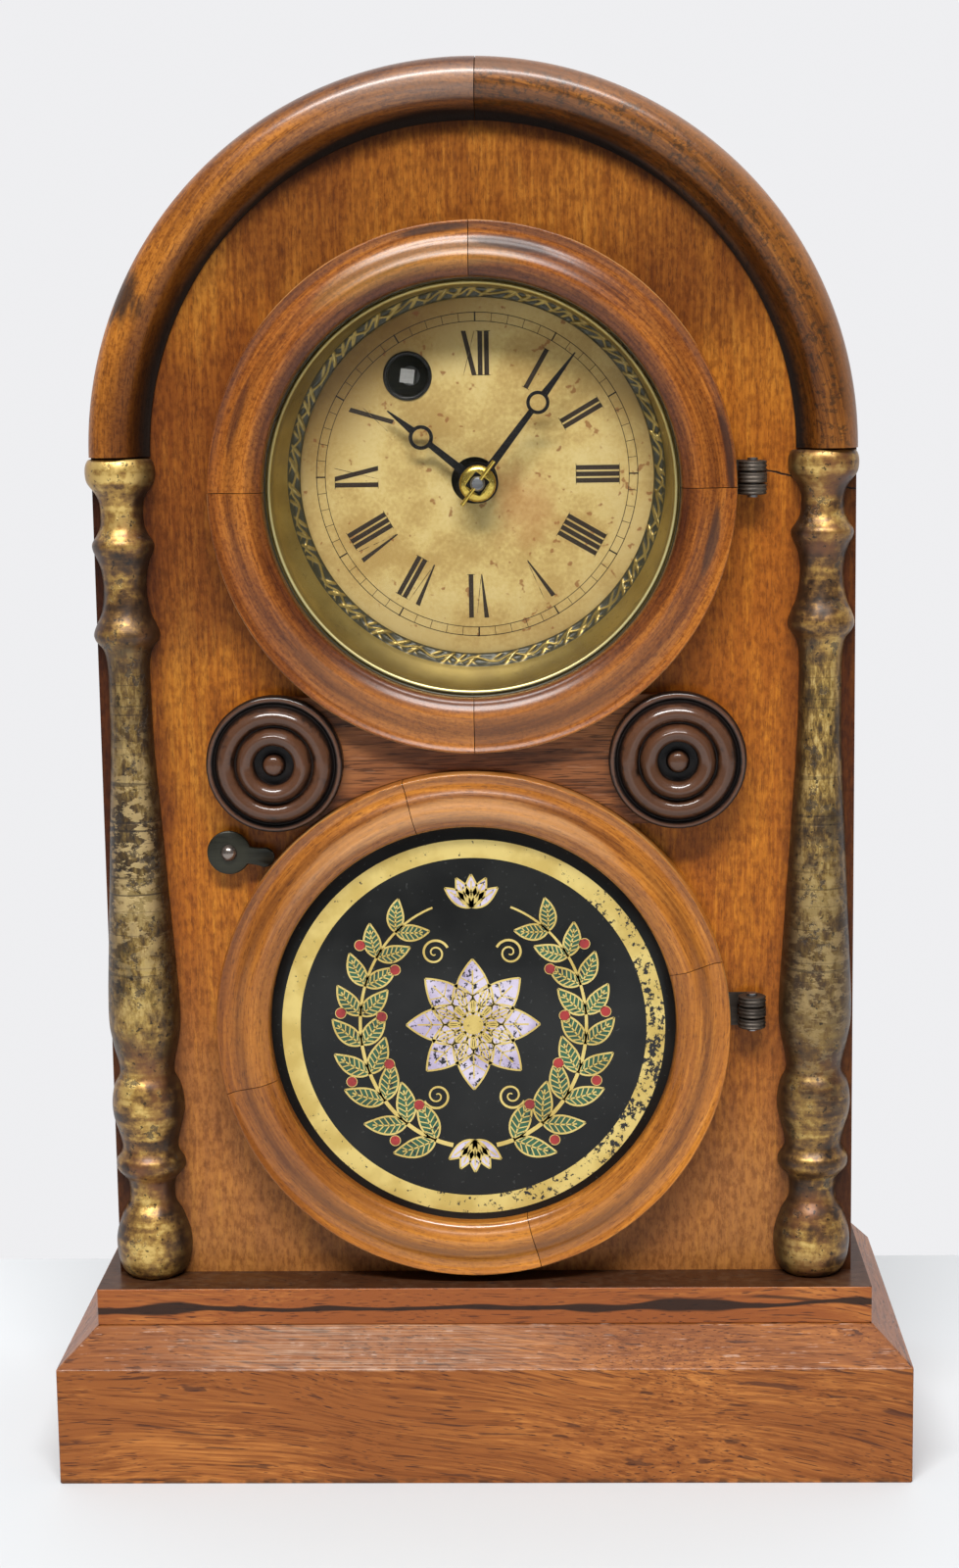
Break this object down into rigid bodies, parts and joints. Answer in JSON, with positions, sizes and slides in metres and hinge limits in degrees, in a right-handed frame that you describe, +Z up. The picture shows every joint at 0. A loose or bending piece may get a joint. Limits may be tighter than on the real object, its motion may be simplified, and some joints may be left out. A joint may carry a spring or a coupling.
{
  "type": "shelf clock",
  "caption": "Arch-topped wooden shelf clock with a hinged figure-of-eight door, round glazed dial, painted lower glass, gilt half columns and a spring-driven pendulum movement.",
  "frame": {"origin": "middle of the underside of the base", "axes": "+Z up, front of the clock faces -Y, +X to the viewer's right"},
  "size_m": [0.249, 0.118, 0.4071],
  "materials": {
    "base_veneer": "satin veneer",
    "plinth_veneer": "satin veneer",
    "case_wood": "worn varnish",
    "panel_wood": "semi-gloss varnish",
    "raw_pine": "unfinished",
    "moulding_wood": "gloss varnish",
    "upper_ring_wood": "gloss varnish",
    "lower_ring_wood": "gloss varnish",
    "rosewood": "semi-gloss varnish",
    "mahogany": "gloss varnish",
    "gilt": "aged gilding",
    "clear_glass": "clear",
    "tablet_black": "back-painted",
    "sight_brass": "patinated, embossed",
    "dial_paper": "aged",
    "iron": "dark, worn",
    "steel": "brushed",
    "movement_brass": "lacquered",
    "hand_black": "blued and painted"
  },
  "bodies": {
    "case": {"base_front_rail": "base_veneer", "base_side_rails": "base_veneer", "base_back_rail": "raw_pine", "plinth_board": "plinth_veneer", "case_sides": "case_wood", "case_arch": "case_wood", "front_panel": "panel_wood", "back_board": "raw_pine", "back_board_screws": "iron", "arch_moulding_left": "moulding_wood", "arch_moulding_right": "moulding_wood", "column_left": "gilt", "column_right": "gilt", "movement_rails": "raw_pine", "case_hinge_leaves": "iron", "dial_plate": "dial_paper", "dial_pins": "iron", "winding_eyelet": "iron", "front_plate": "movement_brass", "back_plate": "movement_brass", "plate_pillars": "steel", "pillar_nuts": "steel", "movement_screws": "iron", "mainspring": "steel", "suspension_post": "movement_brass"},
    "door": {"upper_ring_segments": "upper_ring_wood", "lower_ring_segments": "lower_ring_wood", "door_rail": "rosewood", "rosettes": "mahogany", "upper_glass": "clear_glass", "sight_ring": "sight_brass", "tablet_glass": "tablet_black", "tablet_retainer": "raw_pine", "door_hinge_leaves": "iron", "hinge_pins": "iron"},
    "latch": {"latch_button": "iron", "latch_pivot": "iron"},
    "great_wheel": {"main_wheel": "movement_brass"},
    "winding": {"winding_arbor": "steel", "ratchet_wheel": "movement_brass"},
    "click": {"main_click": "steel"},
    "centre_train": {"centre_pinion": "steel", "centre_wheel": "movement_brass"},
    "third_train": {"third_arbor": "steel", "third_wheel": "movement_brass"},
    "escape_train": {"escape_arbor": "steel", "escape_wheel": "movement_brass"},
    "minute_arbor": {"centre_arbor": "steel", "minute_hand": "hand_black", "hand_washer": "sight_brass", "hand_pin": "sight_brass"},
    "minute_work": {"minute_wheel": "movement_brass"},
    "hour_work": {"hour_wheel": "movement_brass", "hour_hand": "hand_black"},
    "verge_group": {"verge": "steel", "crutch": "movement_brass"},
    "pendulum": {"suspension_spring": "steel", "pendulum_rod": "steel", "pendulum_bob": "sight_brass", "rating_nut": "movement_brass"}
  },
  "joints": [
    {"name": "door_swing", "type": "hinge", "parent": "case", "child": "door", "pos_m": [0.0793, -0.0371, 0.2127], "axis": [0, 0, 1], "range_deg": [0, 110]},
    {"name": "latch_turn", "type": "hinge", "parent": "case", "child": "latch", "pos_m": [-0.0722, -0.029, 0.1836], "axis": [0, 1, 0], "range_deg": [-28, 28]},
    {"name": "great_wheel_turn", "type": "hinge", "parent": "case", "child": "great_wheel", "pos_m": [-0.0184, -0.008, 0.3196], "axis": [0, 1, 0], "continuous": true},
    {"name": "winding_turn", "type": "hinge", "parent": "great_wheel", "child": "winding", "pos_m": [-0.0184, -0.008, 0.3196], "axis": [0, 1, 0], "range_deg": [0, 1440]},
    {"name": "click_drop", "type": "hinge", "parent": "great_wheel", "child": "click", "pos_m": [-0.0299, -0.0059, 0.3328], "axis": [0, 1, 0], "range_deg": [0, 5]},
    {"name": "centre_turn", "type": "hinge", "parent": "case", "child": "centre_train", "pos_m": [0.0015, 0, 0.2891], "axis": [0, 1, 0], "continuous": true},
    {"name": "third_turn", "type": "hinge", "parent": "case", "child": "third_train", "pos_m": [0.02112, 0, 0.27204], "axis": [0, 1, 0], "continuous": true},
    {"name": "escape_turn", "type": "hinge", "parent": "case", "child": "escape_train", "pos_m": [0.0015, 0, 0.2621], "axis": [0, 1, 0], "continuous": true},
    {"name": "minute_turn", "type": "hinge", "parent": "case", "child": "minute_arbor", "pos_m": [0.0015, -0.02, 0.2891], "axis": [0, 1, 0], "continuous": true},
    {"name": "minute_wheel_turn", "type": "hinge", "parent": "case", "child": "minute_work", "pos_m": [0.0075, -0.016, 0.29949], "axis": [0, 1, 0], "continuous": true},
    {"name": "hour_turn", "type": "hinge", "parent": "case", "child": "hour_work", "pos_m": [0.0015, -0.02, 0.2891], "axis": [0, 1, 0], "continuous": true},
    {"name": "pendulum_swing", "type": "hinge", "parent": "case", "child": "pendulum", "pos_m": [0.0015, -0.0175, 0.2486], "axis": [0, 1, 0], "range_deg": [-4, 4]},
    {"name": "verge_swing", "type": "hinge", "parent": "case", "child": "verge_group", "pos_m": [0.0015, 0, 0.2486], "axis": [0, 1, 0], "range_deg": [-4, 4]}
  ],
  "couplings": [
    {"joint": "centre_turn", "follows": "third_turn", "ratio": -0.083333},
    {"joint": "great_wheel_turn", "follows": "third_turn", "ratio": 0.010417},
    {"joint": "escape_turn", "follows": "third_turn", "ratio": -10},
    {"joint": "minute_wheel_turn", "follows": "minute_turn", "ratio": -0.33333},
    {"joint": "hour_turn", "follows": "minute_turn", "ratio": 0.083333},
    {"joint": "verge_swing", "follows": "pendulum_swing", "ratio": 1}
  ]
}
